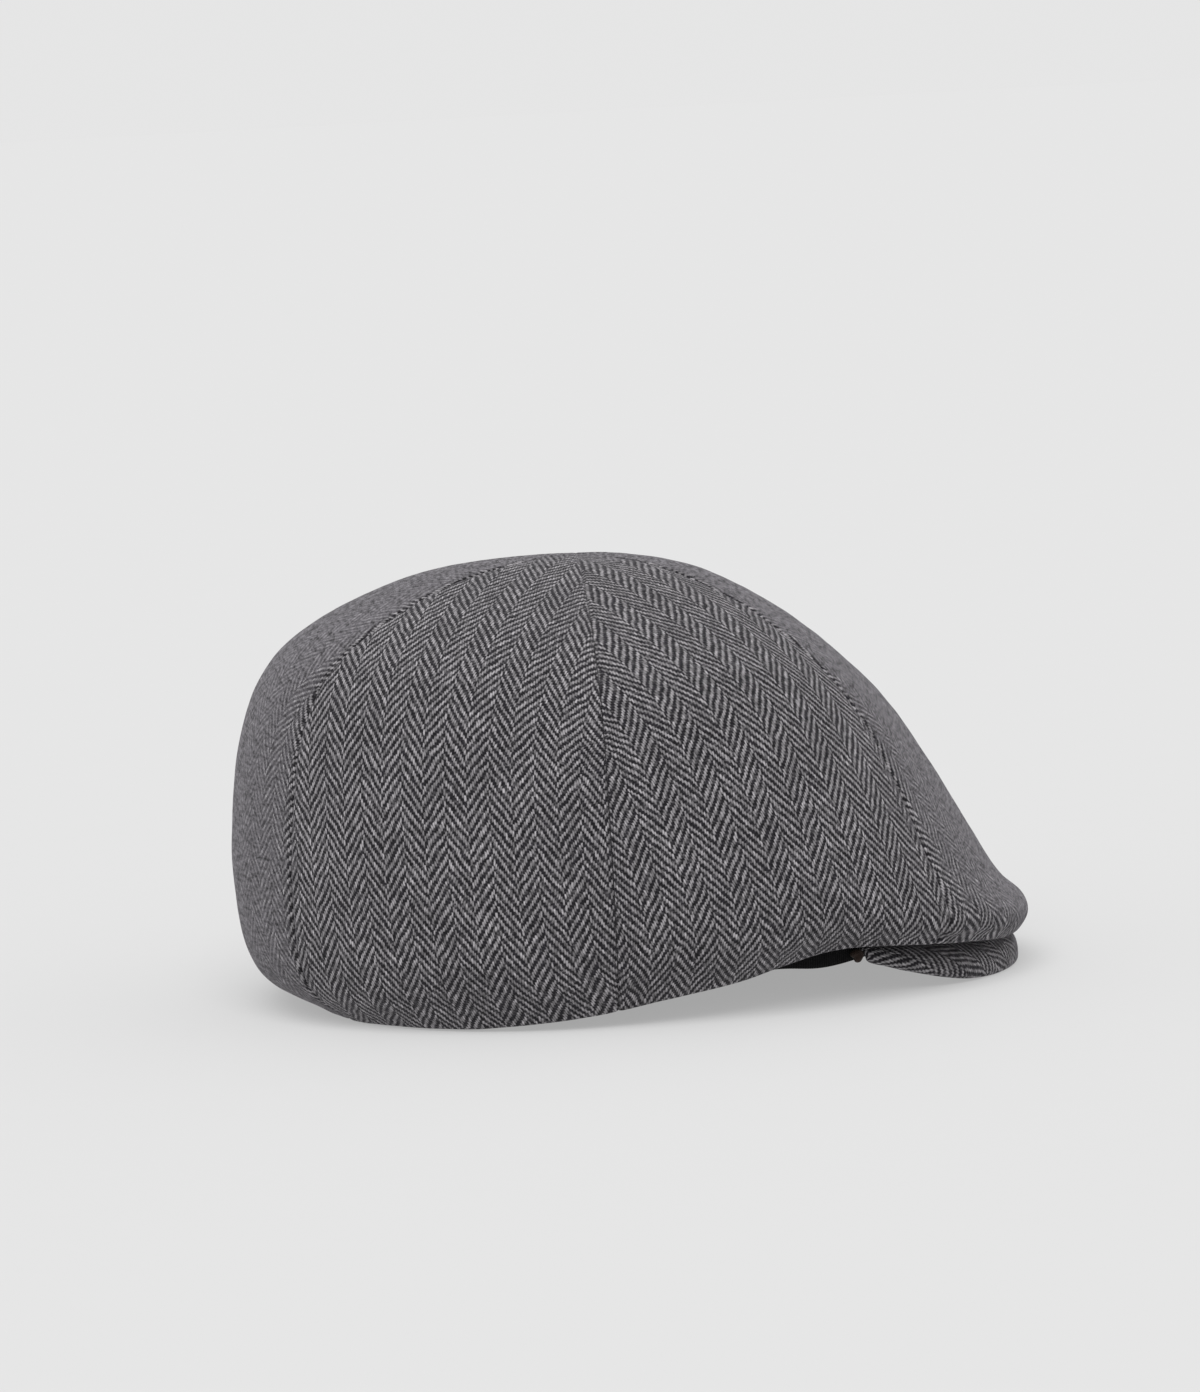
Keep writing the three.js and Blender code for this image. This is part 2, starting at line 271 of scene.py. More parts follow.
def height_along(line, angle):
    """A smooth curve through a table's heights, level at both ends."""
    last = len(line) - 1
    place = min(max(from_front(angle), line[0][0]), line[last][0])
    row = 0
    while row < last - 1 and place > line[row + 1][0]:
        row += 1

    def slope(index):
        if index in (0, last):
            return 0.0
        before, after = line[index - 1], line[index + 1]
        return (after[1] - before[1]) / (after[0] - before[0])

    start, end = line[row], line[row + 1]
    span = end[0] - start[0]
    t = (place - start[0]) / span
    rise = t * t * (3 - 2 * t)
    leave = t * (1 - t) ** 2 * span * slope(row)
    arrive = t * t * (t - 1) * span * slope(row + 1)
    return start[1] + (end[1] - start[1]) * rise + leave + arrive


def oval_radius(angle, front, rear, side):
    """A rounded oval with its own reach to the front, the rear and the sides."""
    along = math.cos(math.radians(angle))
    across = math.sin(math.radians(angle))
    reach = front if along >= 0 else rear
    total = abs(along / reach) ** PLAN_ROUNDNESS + abs(across / side) ** PLAN_ROUNDNESS
    return total ** (-1 / PLAN_ROUNDNESS)


def blend_round(angle, front, side, rear):
    """Goes from the side's value to the front's or the rear's."""
    along = math.cos(math.radians(angle))
    end = front if along >= 0 else rear
    return side + (end - side) * along * along


def opening_radius(angle):
    return oval_radius(angle, OPENING_FRONT, OPENING_REAR, OPENING_HALF_WIDTH)


def front_swell(angle, half_angle, power):
    """1 at the front, falling to 0 at the given angle on each side."""
    share = min(from_front(angle) / half_angle, 1)
    return max(math.cos(share * math.pi / 2), 0) ** power


def hem_radius(angle):
    fold = SEAM_GAP + HEM_FOLD
    overhang = FRONT_REACH - LIP_TUCK - (OPENING_FRONT + fold)
    return opening_radius(angle) + fold + overhang * front_swell(
        angle, HEM_OVERHANG_HALF_ANGLE, HEM_OVERHANG_POWER)


def hem_height(angle):
    return max(0.0, HEM_LIFT * height_along(HEM_LINE, angle))


def level_points(angle):
    """The crown's levels at one angle as (radius, height), from the hem up."""
    hem = Vector((hem_radius(angle), hem_height(angle)))
    points = [hem]
    for level in LEVELS:
        share = blend_round(angle, level["z_front"], level["z_side"], level["z_rear"])
        radius = oval_radius(
            angle, level["front"] * FRONT_REACH, level["rear"] * REAR_REACH,
            level["side"] * HALF_WIDTH)
        points.append(Vector((radius, hem.y + (CROWN_HEIGHT - hem.y) * share)))
    return points


def curve_through(points, steps):
    """Points on a centripetal curve from the first point to the middle one."""
    ends = [points[0] * 2 - points[1], *points, points[-1] * 2 - points[-2]]
    found = []
    for segment in range(len(points) // 2):
        p0, p1, p2, p3 = ends[segment:segment + 4]
        d0, d1, d2 = (math.sqrt((b - a).length) for a, b in ((p0, p1), (p1, p2), (p2, p3)))
        leave = ((p1 - p0) / d0 - (p2 - p0) / (d0 + d1) + (p2 - p1) / d1) * d1
        arrive = ((p2 - p1) / d1 - (p3 - p1) / (d1 + d2) + (p3 - p2) / d2) * d1
        for step in range(steps):
            t = step / steps
            found.append(
                p1 + leave * t + (p2 * 3 - p1 * 3 - leave * 2 - arrive) * t * t
                + (p1 * 2 - p2 * 2 + leave + arrive) * t ** 3)
    found.append(points[len(points) // 2].copy())
    return found


def meridian(angle):
    """The crown's outline at one angle as (radius, height), from the top to the hem."""
    far = [Vector((-point.x, point.y)) for point in reversed(level_points(angle + 180))]
    points = level_points(angle) + [Vector((0.0, CROWN_HEIGHT))] + far
    return list(reversed(curve_through(points, 30)))


def lengths_along(points):
    """How far each point is along a line of points."""
    total = [0.0]
    for before, after in zip(points, points[1:]):
        total.append(total[-1] + (after - before).length)
    return total


def at_length(points, total, length):
    """The point at a length along a line, and the line's direction there."""
    index = 1
    while index < len(points) - 1 and total[index] < length:
        index += 1
    before, after = points[index - 1], points[index]
    share = (length - total[index - 1]) / (total[index] - total[index - 1])
    return before.lerp(after, share), (after - before).normalized()


def crown_profile(angle, turn_up, turn_radius):
    """One column of a panel as (radius, height) rows: down the outside from the top
    point, round the fold of the hem, and up inside it."""
    points = meridian(angle)
    total = lengths_along(points)
    fold_start = total[-1] - turn_radius
    rows = [
        at_length(points, total, fold_start * row / CROWN_ROWS)[0]
        for row in range(CROWN_ROWS + 1)]
    edge, down = at_length(points, total, fold_start)
    inward = Vector((down.y, -down.x))
    if inward.x > 0:
        inward = -inward
    for row in range(1, FOLD_ROWS + 1):
        turn = math.pi * row / FOLD_ROWS
        rows.append(edge + turn_radius * (inward * (1 - math.cos(turn)) + down * math.sin(turn)))
    for row in range(1, TURN_UP_ROWS + 1):
        point, down = at_length(points, total, fold_start - turn_up * row / TURN_UP_ROWS)
        rows.append(point + Vector((down.y, -down.x)) * 2 * turn_radius)
    return rows


def in_row_frame(radius, angle, height):
    turn = math.radians(angle)
    return Vector((TOP_X + radius * math.cos(turn), radius * math.sin(turn), height))


def grid_of(bm, columns, rows):
    """A flat grid's vertices as [row][column], before they are shaped."""
    made = bmesh.ops.create_grid(bm, x_segments=columns, y_segments=rows, size=1.0)["verts"]
    if len(made) != (columns + 1) * (rows + 1):
        raise RuntimeError("the grid has another count of vertices than asked for")
    made.sort(key=lambda vert: (round(vert.co.y, 6), round(vert.co.x, 6)))
    return [made[row * (columns + 1):(row + 1) * (columns + 1)] for row in range(rows + 1)]


def cloth_map(bm, grid, flat):
    """Gives each face corner its place on the flat cloth, in metres."""
    layer = bm.loops.layers.uv.new("cloth")
    place = {}
    for row_verts, row_flat in zip(grid, flat):
        for vert, point in zip(row_verts, row_flat):
            place[vert] = point
    for face in bm.faces:
        for loop in face.loops:
            loop[layer].uv = place[loop.vert]


def flatten(points, profiles, turns, lean):
    """Lays a panel's [row][column] points out flat: (across from the centre line, down it
    from the top). The weft lies square to the panel's centre plane, and is eased in
    below the widest part, where it keeps its pitch."""
    middle = len(turns) // 2
    centre = profiles[middle][:CROWN_ROWS + 1]
    total = lengths_along(centre)
    square, downs = [], []
    nearest = [0] * len(turns)
    for row in range(CROWN_ROWS + 1):
        line = []
        for column, turn in enumerate(turns):
            place = profiles[column][row]
            point = Vector((place.x * math.cos(math.radians(turn)), place.y))
            index = nearest[column]
            step = centre[index + 1] - centre[index]
            while index < CROWN_ROWS - 1 and (point - centre[index + 1]).dot(step) > 0:
                index += 1
                step = centre[index + 1] - centre[index]
            nearest[column] = index
            line.append(total[index] + (point - centre[index]).dot(step) / step.length)
        square.append(line)
        if row == 0:
            downs.append(line)
            continue
        easing = eased(row / CROWN_ROWS, 0.7, 0.86)
        downs.append([
            above + (1 - easing) * (now - before) + easing * (point - upper).length
            for above, now, before, point, upper in zip(
                downs[-1], line, square[-2], points[row], points[row - 1])])
    flat = []
    for row, line in enumerate(points):
        if row > CROWN_ROWS:
            further = [(point - above).length for point, above in zip(line, points[row - 1])]
            flat.append([(across, down + more) for (across, down), more in zip(flat[-1], further)])
            continue
        across = [0.0]
        for column in range(1, len(line)):
            step = (line[column] - line[column - 1]).length
            slant = downs[row][column] - downs[row][column - 1]
            across.append(across[-1] + math.sqrt(max(step * step - slant * slant, 0.0)))
        flat.append([
            (value - across[middle] - lean * down, down) for value, down in zip(across, downs[row])])
    return flat


def outward_at(points, row, column):
    """The direction out of the cloth at a grid point."""
    if row == 0:
        return Vector((0.0, 0.0, 1.0))
    last = len(points[0]) - 1
    across = points[row][min(column + 1, last)] - points[row][max(column - 1, 0)]
    down = points[min(row + 1, len(points) - 1)][column] - points[row - 1][column]
    return down.cross(across).normalized()


def soft_wave(point, size, seed):
    """A slow wave, -1 to 1, that depends on the place alone."""
    return noise.noise(point / size + Vector((seed, 0.0, 0.0)))


def eased(value, low, high):
    """0 below low, 1 above high, and smooth between."""
    share = min(max((value - low) / (high - low), 0.0), 1.0)
    return share * share * (3 - 2 * share)


def seam_dip(cloth, distance, along):
    """How far the cloth stands out at a distance from its seam. The seams are
    shallow where they meet at the top."""
    pucker = 1 + 0.25 * math.sin(along / 0.0016) * noise.noise(Vector((along / 0.01, 3.0, 0.0)))
    dip = math.exp(-(distance / cloth.seam_half_width) ** 2)
    puff = math.exp(-((distance - 0.0042) / 0.0026) ** 2)
    return (cloth.seam_puff * puff - cloth.seam_depth * dip * pucker) * (
        0.2 + 0.8 * eased(along, 0.004, 0.03))


def lip_roll(cloth, angle, to_hem):
    """How far the cloth swells out where it rolls over the front lip, and the small
    crease that it folds along, just above the hem beside the peak."""
    roll = math.exp(-((to_hem - 0.0085) / 0.006) ** 2) * front_swell(angle, 50, 1)
    beside = eased(from_front(angle), 12, 22) * (1 - eased(from_front(angle), 38, 50))
    crease = math.exp(-((to_hem - 0.0034) / 0.0009) ** 2) * beside
    return cloth.lip_roll * roll - cloth.lip_crease * crease


def smoothed(piece):
    """Rounds a piece with one level of subdivision."""
    for polygon in piece.data.polygons:
        polygon.use_smooth = True
    finish = piece.modifiers.new("smooth", "SUBSURF")
    finish.levels = 1
    finish.render_levels = 1


def placed(bm, name, material, slot, *nodes):
    """Makes the finished mesh a piece that stands for its CAD nodes."""
    mesh = bpy.data.meshes.new(name)
    bm.to_mesh(mesh)
    bm.free()
    mesh.materials.append(material)
    piece = bpy.data.objects.new(name, mesh)
    bpy.context.scene.collection.objects.link(piece)
    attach(piece, "root")
    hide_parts(*nodes)
    return piece


def crown_panel(cloth, panel, material):
    """One panel of the crown, from the top point to its turned-up hem."""
    centre = (panel["from"] + panel["to"]) / 2
    half_spread = (panel["to"] - panel["from"]) / 2
    shares = [-share for share in reversed(COLUMN_SHARES[1:])] + COLUMN_SHARES
    profiles = [
        crown_profile(centre + share * half_spread, cloth.turn_up, HEM_FOLD / 2) for share in shares]
    points = []
    for row in range(len(profiles[0])):
        line = []
        for share, profile in zip(shares, profiles):
            radius = max(profile[row].x, 1e-5)
            overlap = math.degrees(SEAM_OVERLAP / max(radius, TOP_POINT_RADIUS))
            turn = share * (half_spread + overlap) * min(radius / TOP_POINT_RADIUS, 1)
            line.append(in_row_frame(radius, centre + turn, profile[row].y))
        points.append(line)
    turns = [share * half_spread for share in shares]
    flat = flatten(points, profiles, turns, panel["lean"])
    bm = bmesh.new()
    grid = grid_of(bm, len(shares) - 1, len(points) - 1)
    columns_down = [
        lengths_along([line[column] for line in points]) for column in range(len(shares))]
    for row, line in enumerate(points):
        outer_row = min(row, CROWN_ROWS)
        fade = 1.0 if row <= CROWN_ROWS else max(0.0, 1 - (row - CROWN_ROWS) / FOLD_ROWS)
        for column, point in enumerate(line):
            out = outward_at(points, outer_row, column)
            if column in (0, len(line) - 1):
                # A seam's edge moves only within the seam's own upright plane.
                turn = math.radians(centre + shares[column] * half_spread)
                aside = Vector((-math.sin(turn), math.cos(turn), 0))
                out = (out - aside * out.dot(aside)).normalized()
            seam = -1 if column * 2 >= len(line) else 0
            distance = (points[outer_row][column] - points[outer_row][seam]).length
            along = columns_down[column][outer_row]
            height = seam_dip(cloth, distance, along)
            to_hem = columns_down[column][CROWN_ROWS] + HEM_FOLD / 2 - along
            height += lip_roll(cloth, centre + shares[column] * half_spread, to_hem)
            place = points[outer_row][column]
            for wave in CLOTH_WAVES:
                height += wave["share"] * cloth.softness * soft_wave(place, wave["size"], wave["seed"])
            grid[row][column].co = point + out * height * fade
    cloth_map(bm, grid, flat)
    bmesh.ops.remove_doubles(bm, verts=bm.verts[:], dist=2e-6)
    outer_face = max(bm.faces, key=lambda face: face.calc_center_median().z)
    if outer_face.normal.z < 0:
        bmesh.ops.reverse_faces(bm, faces=bm.faces[:])
    for vert in bm.verts:
        vert.co.z = max(vert.co.z, 0.0001)
    piece = placed(bm, panel["name"] + "_cloth", material, "herringbone_wool", panel["name"])
    wall = piece.modifiers.new("cloth thickness", "SOLIDIFY")
    wall.thickness = cloth.thickness
    wall.offset = -1
    smoothed(piece)


def peak_section(angle):
    """The peak's section at one angle as (radius, height) rows, all the way round:
    out over the upper face, round the edge, and back along the lower face."""
    root = opening_radius(angle) + SEAM_GAP
    depth = FRONT_REACH - PEAK_SETBACK - (OPENING_FRONT + SEAM_GAP)
    width = PEAK_CORNER_WIDTH
    width += (depth - PEAK_CORNER_WIDTH) * front_swell(angle, PEAK_HALF_ANGLE, 1)
    inset = min(PEAK_THICKNESS, width / 2)
    edge = inset / 2
    foot = max(0.0, PEAK_CORNER_LIFT * height_along(PEAK_LINE, angle)) + edge
    end = (from_front(angle) - PEAK_HALF_ANGLE + PEAK_END_FROM) / PEAK_END_SPAN
    end = min(max(end, 0), 1)
    foot += PEAK_END_ROUND * (1 - math.sqrt(1 - end * end))
    share = from_front(angle) / PEAK_HALF_ANGLE
    top = PEAK_TOP_FRONT + (PEAK_TOP_CORNER - PEAK_TOP_FRONT) * share * share
    power = PEAK_SECTION_POWER - 0.9 * eased(from_front(angle), 4, 14)

    def face_point(turn, depth_in):
        out = max(math.cos(turn), 0) ** (2 / power)
        up = math.sin(turn) ** (2 / power)
        return Vector((root + (width - depth_in) * out, foot + (top - foot - depth_in) * up))

    turns = [math.pi / 2 * (1 - row / PEAK_FACE_ROWS) for row in range(PEAK_FACE_ROWS + 1)]
    upper = [face_point(turn, 0.0) for turn in turns]
    lower = [face_point(turn, inset) for turn in reversed(turns)]
    middle = Vector((root + width - edge, foot))
    rim = []
    for row in range(1, PEAK_EDGE_ROWS):
        turn = math.pi * row / PEAK_EDGE_ROWS
        rim.append(middle + edge * Vector((math.cos(turn), -math.sin(turn))))
    return upper + rim + lower


def peak(material, weave):
    """The cloth-covered peak, a crescent closed at both ends. The middle of a stripe
    lies on its centre line."""
    half_stripe = weave.stripe_yarns * weave.warp_pitch / 2
    end_angle = PEAK_HALF_ANGLE + PEAK_END_REACH
    sections = []
    for column in range(PEAK_COLUMNS + 1):
        share = 2 * column / PEAK_COLUMNS - 1
        # The sections crowd at the ends, where the peak is rounded.
        angle = end_angle * (1.25 * share - 0.25 * share ** 3)
        rows = peak_section(angle)
        if column in (0, PEAK_COLUMNS):
            rows = [(point + mate) / 2 for point, mate in zip(rows, reversed(rows))]
        sections.append((angle, rows + [rows[0]]))
    row_count = len(sections[0][1])
    edge_row = (row_count - 1) // 2
    bm = bmesh.new()
    grid = grid_of(bm, PEAK_COLUMNS, row_count - 1)
    layer = bm.loops.layers.uv.new("cloth")
    upper_place, lower_place = {}, {}
    for column, (angle, rows) in enumerate(sections):
        along = lengths_along(rows)
        back = along[-2]
        turn = math.radians(angle)
        outward = turn * PEAK_EDGE_TURN
        for row, point in enumerate(rows):
            vert = grid[row][column]
            vert.co = in_row_frame(point.x, angle, point.y)
            for place, reach in ((upper_place, along[row]), (lower_place, back - along[row])):
                place[vert] = (
                    half_stripe + rows[0].x * math.sin(turn) + abs(reach) * math.sin(outward),
                    rows[0].x * math.cos(turn) + abs(reach) * math.cos(outward))
    row_of = {vert: row for row, line in enumerate(grid) for vert in line}
    for face in bm.faces:
        lowest = min(row_of[vert] for vert in face.verts)
        place = upper_place if lowest < edge_row else lower_place
        for loop in face.loops:
            loop[layer].uv = place[loop.vert]
    bmesh.ops.remove_doubles(bm, verts=bm.verts[:], dist=1e-5)
    bmesh.ops.recalc_face_normals(bm, faces=bm.faces[:])
    piece = placed(bm, "peak_cloth", material, "peak_wool", "peak")
    smoothed(piece)


def sweatband(material):
    """The black band inside the head opening, with softly rounded edges."""
    half = BAND_THICKNESS / 2
    straight = BAND_HEIGHT - 2 * half
    section = []
    for row in range(BAND_WALL_ROWS + 1):
        section.append((half, half + straight * row / BAND_WALL_ROWS))
    for row in range(1, BAND_EDGE_ROWS):
        turn = math.pi * row / BAND_EDGE_ROWS
        section.append((half * math.cos(turn), BAND_HEIGHT - half + half * math.sin(turn)))
    for row in range(BAND_WALL_ROWS + 1):
        section.append((-half, BAND_HEIGHT - half - straight * row / BAND_WALL_ROWS))
    for row in range(1, BAND_EDGE_ROWS):
        turn = math.pi * row / BAND_EDGE_ROWS
        section.append((-half * math.cos(turn), half - half * math.sin(turn)))
    section.append(section[0])
    bm = bmesh.new()
    grid = grid_of(bm, BAND_COLUMNS, len(section) - 1)
    angles = [360 * column / BAND_COLUMNS for column in range(BAND_COLUMNS + 1)]
    round_the_head = lengths_along(
        [in_row_frame(opening_radius(angle), angle, 0.0) for angle in angles])
    up_the_band = lengths_along([Vector(point) for point in section])
    flat = []
    for row, (out, up) in enumerate(section):
        for column, angle in enumerate(angles):
            angle = angle % 360
            foot = HEM_LIFT * height_along(BAND_LINE, angle)
            radius = opening_radius(angle) - half + out
            grid[row][column].co = in_row_frame(radius, angle, foot + up)
        flat.append([(far, up_the_band[row]) for far in round_the_head])
    cloth_map(bm, grid, flat)
    bmesh.ops.remove_doubles(bm, verts=bm.verts[:], dist=1e-6)
    bmesh.ops.recalc_face_normals(bm, faces=bm.faces[:])
    piece = placed(bm, "sweatband_cloth", material, "black_band", "sweatband")
    smoothed(piece)


def binding_end(name, side, material):
    """The rolled end of the peak's binding: a short bent roll, pinched in the middle."""
    low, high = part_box(name)
    middle = (low + high) / 2
    bm = bmesh.new()
    bmesh.ops.create_uvsphere(bm, u_segments=20, v_segments=14, radius=TAB_RADIUS)
    for vert in bm.verts:
        pinch = 1 - 0.18 * math.exp(-(vert.co.z / 0.0004) ** 2)
        vert.co.x *= 1.25 * pinch
        vert.co.y *= 0.95 * pinch
        vert.co.z *= 1.3
        vert.co.x += 0.0006 * math.cos(vert.co.z / 0.0012)
        unevenness = soft_wave(vert.co + Vector((0, side, 0)), 0.0011, 4.0)
        vert.co += 0.00012 * Vector((1, 1, 1)) * unevenness
    slant = Matrix.Rotation(math.radians(TAB_SLANT), 3, "Y")
    bmesh.ops.rotate(bm, verts=bm.verts[:], matrix=slant)
    bmesh.ops.translate(bm, verts=bm.verts[:], vec=middle)
    piece = placed(bm, name + "_cloth", material, "brown_binding", name)
    smoothed(piece)


def new_material(name):
    material = bpy.data.materials.new(name)
    material.use_nodes = True
    tree = material.node_tree
    return material, tree, tree.nodes["Principled BSDF"]


def put(tree, socket, value):
    """Links a socket, or sets its value."""
    if isinstance(value, bpy.types.NodeSocket):
        tree.links.new(value, socket)
    else:
        socket.default_value = value


def maths(tree, operation, *values):
    node = tree.nodes.new("ShaderNodeMath")
    node.operation = operation
    for socket, value in zip(node.inputs, values):
        put(tree, socket, value)
    return node.outputs[0]


def spread(tree, value, from_low, from_high, to_low, to_high):
    """Maps a range of values smoothly to another one."""
    node = tree.nodes.new("ShaderNodeMapRange")
    node.interpolation_type = "SMOOTHSTEP"
    for socket, number in zip(node.inputs, (value, from_low, from_high, to_low, to_high)):
        put(tree, socket, number)
    return node.outputs[0]


def mottle(tree, vector, scale, detail=2.0):
    """A grey noise, about 0.5 on average."""
    node = tree.nodes.new("ShaderNodeTexNoise")
    tree.links.new(vector, node.inputs["Vector"])
    node.inputs["Scale"].default_value = scale
    node.inputs["Detail"].default_value = detail
    return node.outputs["Fac"]


def mixed(tree, share, first, second, blend="MIX"):
    node = tree.nodes.new("ShaderNodeMix")
    node.data_type = "RGBA"
    node.blend_type = blend
    put(tree, node.inputs[0], share)
    put(tree, node.inputs[6], first)
    put(tree, node.inputs[7], second)
    return node.outputs[2]


def grey(tree, value):
    """A colour with the same value in each channel."""
    node = tree.nodes.new("ShaderNodeCombineColor")
    for socket in node.inputs:
        tree.links.new(value, socket)
    return node.outputs[0]


def shaded(tree, colour, shade):
    """A plain colour, made lighter or darker by a shade about 1."""
    return mixed(tree, 1.0, colour, grey(tree, shade), "MULTIPLY")


def cloth_place(tree):
    """The place on the flat cloth, in metres."""
    node = tree.nodes.new("ShaderNodeUVMap")
    node.uv_map = "cloth"
    return node.outputs[0]


def split(tree, vector):
    node = tree.nodes.new("ShaderNodeSeparateXYZ")
    tree.links.new(vector, node.inputs[0])
    return node.outputs


def stretched(tree, vector, across, along):
    """The cloth's place with its own scale across and along."""
    node = tree.nodes.new("ShaderNodeMapping")
    tree.links.new(vector, node.inputs["Vector"])
    node.inputs["Scale"].default_value = (across, along, 1.0)
    return node.outputs[0]


def bumped(tree, height, distance):
    """The surface's normal, roughened by a height."""
    node = tree.nodes.new("ShaderNodeBump")
    node.inputs["Strength"].default_value = 1.0
    node.inputs["Distance"].default_value = distance
    tree.links.new(height, node.inputs["Height"])
    return node.outputs[0]


def white_noise(tree, first, second):
    """A number from 0 to 1 for each pair of whole numbers."""
    pair = tree.nodes.new("ShaderNodeCombineXYZ")
    tree.links.new(first, pair.inputs[0])
    tree.links.new(second, pair.inputs[1])
    node = tree.nodes.new("ShaderNodeTexWhiteNoise")
    node.noise_dimensions = "2D"
    tree.links.new(pair.outputs[0], node.inputs["Vector"])
    return node.outputs["Value"]


def nap_and_painted_sheen_share(tree, weave, tufts, reach):
    """Painted sheen of the nap: how far the weave's colour turns to the nap's grey, by the angle the
    cloth is seen at. It lies across the yarns, so it covers the weave most where the cloth is seen
    along its weft, and elsewhere only where it is seen edge on."""
    weft = tree.nodes.new("ShaderNodeTangent")
    weft.direction_type = "UV_MAP"
    weft.uv_map = "cloth"
    along_weft = tree.nodes.new("ShaderNodeLayerWeight")
    along_weft.inputs["Blend"].default_value = 0.5
    tree.links.new(weft.outputs[0], along_weft.inputs["Normal"])
    edge_on = tree.nodes.new("ShaderNodeLayerWeight")
    edge_on.inputs["Blend"].default_value = 0.5
    ragged = maths(tree, "MULTIPLY_ADD", tufts, 0.8, -0.4)
    seen_along = maths(tree, "ADD", along_weft.outputs["Facing"], ragged)
    lying = spread(tree, seen_along, 0.02, reach, weave.nap_and_sheen_cover, 0.0)
    seen_edge_on = maths(tree, "ADD", edge_on.outputs["Facing"], ragged)
    rising = spread(tree, seen_edge_on, 0.72, 0.98, 0.0, weave.nap_and_sheen_cover)
    return maths(tree, "MAXIMUM", lying, rising)


def herringbone_wool(weave, name, nap_sheen_reach):
    """Two-and-two twill, light yarn over dark, that turns back at each stripe and breaks there, so
    that light lines meet dark ones. The nap's painted sheen, mixed into the colour by the angle the
    cloth is seen at, reaches further where the cloth is more brushed."""
    material, tree, shader = new_material(name)
    place = cloth_place(tree)
    parts = split(tree, place)
    # The yarns wander a little.
    sway = maths(tree, "MULTIPLY_ADD", mottle(tree, place, 210.0, 3.0), 0.0017, -0.00085)
    drift = maths(tree, "MULTIPLY_ADD", mottle(tree, place, 300.0, 3.0), 0.002, -0.001)
    across = maths(tree, "ADD", parts[0], sway)
    along = maths(tree, "ADD", parts[1], drift)
    yarn = maths(tree, "DIVIDE", across, weave.warp_pitch)
    pick = maths(tree, "DIVIDE", along, weave.weft_pitch)
    yarn_number = maths(tree, "FLOOR", yarn)
    yarn_side = maths(tree, "SUBTRACT", maths(tree, "FRACT", yarn), 0.5)
    pick_side = maths(tree, "SUBTRACT", maths(tree, "FRACT", pick), 0.5)
    # Each yarn floats a step further along than the last, and back in the next stripe.
    middle = maths(tree, "ADD", yarn_number, 0.5)
    step = maths(tree, "PINGPONG", middle, float(weave.stripe_yarns))
    stripe = maths(tree, "FLOOR", maths(tree, "DIVIDE", middle, float(weave.stripe_yarns)))
    broken = maths(tree, "MULTIPLY", maths(tree, "FLOORED_MODULO", stripe, 2.0), 2.0)
    place_in_twill = maths(tree, "ADD", maths(tree, "ADD", pick, step), broken)
    over = maths(tree, "SINE", maths(tree, "MULTIPLY", place_in_twill, math.pi / 2))
    float_number = maths(tree, "FLOOR", maths(tree, "DIVIDE", place_in_twill, 4.0))
    # The yarns are round, so their sides lie lower than their middles.
    yarn_round = maths(
        tree, "MULTIPLY_ADD", maths(tree, "MULTIPLY", yarn_side, yarn_side), -3.4, 1.0)
    pick_round = maths(
        tree, "MULTIPLY_ADD", maths(tree, "MULTIPLY", pick_side, pick_side), -3.4, 1.0)
    light_height = maths(tree, "MULTIPLY", yarn_round, maths(tree, "MAXIMUM", over, 0.0))
    under = maths(tree, "MAXIMUM", maths(tree, "MULTIPLY", over, -0.8), 0.0)
    dark_height = maths(tree, "MULTIPLY", pick_round, under)
    height = maths(tree, "MAXIMUM", light_height, dark_height)
    ragged = maths(tree, "MULTIPLY_ADD", mottle(tree, place, 2600.0, 3.0), 1.7, -0.85)
    uneven = maths(tree, "MULTIPLY_ADD", mottle(tree, place, 150.0, 3.0), 1.3, -0.65)
    ragged = maths(tree, "ADD", ragged, uneven)
    is_light = spread(tree, maths(tree, "ADD", over, ragged), -0.3, 0.3, 0.0, 1.0)
    # The wool itself: fibres, mixed dyes, wear, and a shade of its own for each float.
    fibres = mottle(tree, stretched(tree, place, 3200.0, 900.0), 1.0, 3.0)
    melange = mottle(tree, stretched(tree, place, 900.0, 420.0), 1.0, 2.0)
    worn = mottle(tree, place, 45.0, 3.0)
    spun = spread(tree, white_noise(tree, yarn_number, float_number), 0.0, 1.0, 0.72, 1.28)
    light_shade = maths(
        tree, "ADD", spread(tree, melange, 0.25, 0.75, 0.6, 1.3),
        spread(tree, fibres, 0.3, 0.7, -0.2, 0.2))
    light_shade = maths(tree, "MULTIPLY", light_shade, spun)
    dark_shade = maths(
        tree, "ADD", spread(tree, melange, 0.3, 0.75, 0.6, 2.6),
        spread(tree, fibres, 0.3, 0.7, -0.3, 0.9))
    light = shaded(tree, tuple(weave.light_wool), light_shade)
    dark = shaded(tree, tuple(weave.dark_wool), dark_shade)
    # Stray fibres of each yarn lie over the other.
    stray_light = spread(tree, mottle(tree, place, 520.0, 4.0), 0.48, 0.7, 0.0, 0.28)
    dark = mixed(tree, stray_light, dark, light)
    stray_dark = spread(tree, mottle(tree, place, 760.0, 3.0), 0.52, 0.72, 0.0, 0.36)
    light = mixed(tree, stray_dark, light, dark)
    wool = mixed(tree, is_light, dark, light)
    # Painted shade: the wool is darker where the yarns lie low, at their sides and between them, with
    # a random tone over the cloth.
    relief = spread(tree, height, 0.0, 0.7, 0.5, 1.0)
    relief = maths(tree, "MULTIPLY", relief, spread(tree, worn, 0.3, 0.7, 0.92, 1.08))
    wool = shaded(tree, wool, relief)
